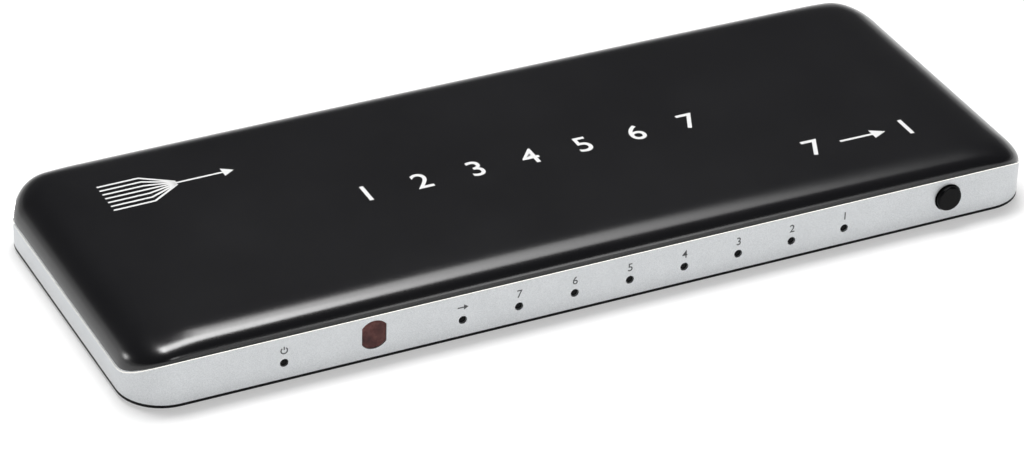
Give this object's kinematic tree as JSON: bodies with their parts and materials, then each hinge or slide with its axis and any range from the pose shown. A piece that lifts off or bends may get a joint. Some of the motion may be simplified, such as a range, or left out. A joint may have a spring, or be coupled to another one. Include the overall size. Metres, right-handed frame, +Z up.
{
  "type": "video switch box",
  "caption": "Slim desktop video switch box with a row of sockets at the rear, indicator holes, an infrared window and a push button at the front.",
  "frame": {"origin": "centre of the footprint, on the surface that the rubber feet stand on", "axes": "+X to the right seen from the front, front with the button at -Y, sockets at +Y, +Z up"},
  "size_m": [0.2244, 0.0844, 0.0164],
  "materials": {
    "cover_black": "satin gloss moulded",
    "band_silver": "silver metallic satin",
    "base_black": "fine texture",
    "rubber": "matt",
    "screw_black": "black zinc",
    "screw_zinc": "zinc plated",
    "board_green": "solder mask",
    "contact_gold": "gold plated",
    "contact_tin": "tin plated",
    "shell_gold": "thin gold plating",
    "insulator_black": "moulded",
    "button_black": "gloss",
    "window_red": "dark red, see-through for infrared",
    "lens_dark": "smoked",
    "lamp_white": "moulded",
    "chip_black": "moulded",
    "pad_grey": "soft",
    "sink_aluminium": "bare",
    "ferrite_grey": "ferrite",
    "ceramic_tan": "ceramic"
  },
  "bodies": {
    "case": {"base_cover": "base_black", "board_screws": "screw_zinc", "case_screws": "screw_black", "controller_chip": "chip_black", "crystal": "contact_tin", "driver_chip": "chip_black", "heat_sink": "sink_aluminium", "indicator_lamps": "lamp_white", "indicator_lenses": "lens_dark", "infrared_receiver": "lens_dark", "infrared_window": "window_red", "inlet_body": "insulator_black", "inlet_pin": "contact_tin", "inlet_spring": "contact_tin", "main_board": "board_green", "power_inductor": "ferrite_grey", "protection_arrays": "chip_black", "resistors": "chip_black", "round_capacitors": "sink_aluminium", "rubber_feet": "rubber", "service_header": "insulator_black", "side_band": "band_silver", "small_capacitors": "ceramic_tan", "socket_contacts": "contact_gold", "socket_core_input_1": "insulator_black", "socket_core_input_2": "insulator_black", "socket_core_input_3": "insulator_black", "socket_core_input_4": "insulator_black", "socket_core_input_5": "insulator_black", "socket_core_input_6": "insulator_black", "socket_core_input_7": "insulator_black", "socket_core_output": "insulator_black", "socket_shell_input_1": "shell_gold", "socket_shell_input_2": "shell_gold", "socket_shell_input_3": "shell_gold", "socket_shell_input_4": "shell_gold", "socket_shell_input_5": "shell_gold", "socket_shell_input_6": "shell_gold", "socket_shell_input_7": "shell_gold", "socket_shell_output": "shell_gold", "switch_body": "insulator_black", "switch_cover_plate": "contact_tin", "switch_dome": "contact_tin", "switching_chip": "chip_black", "thermal_pad": "pad_grey", "top_cover": "cover_black", "voltage_regulator": "chip_black"},
    "button": {"select_button_cap": "button_black", "switch_plunger": "insulator_black"}
  },
  "joints": [
    {"name": "select_press", "type": "slide", "parent": "case", "child": "button", "axis": [0, 1, 0], "range_m": [0, 0.0005], "stiffness_N_per_m": 400}
  ]
}
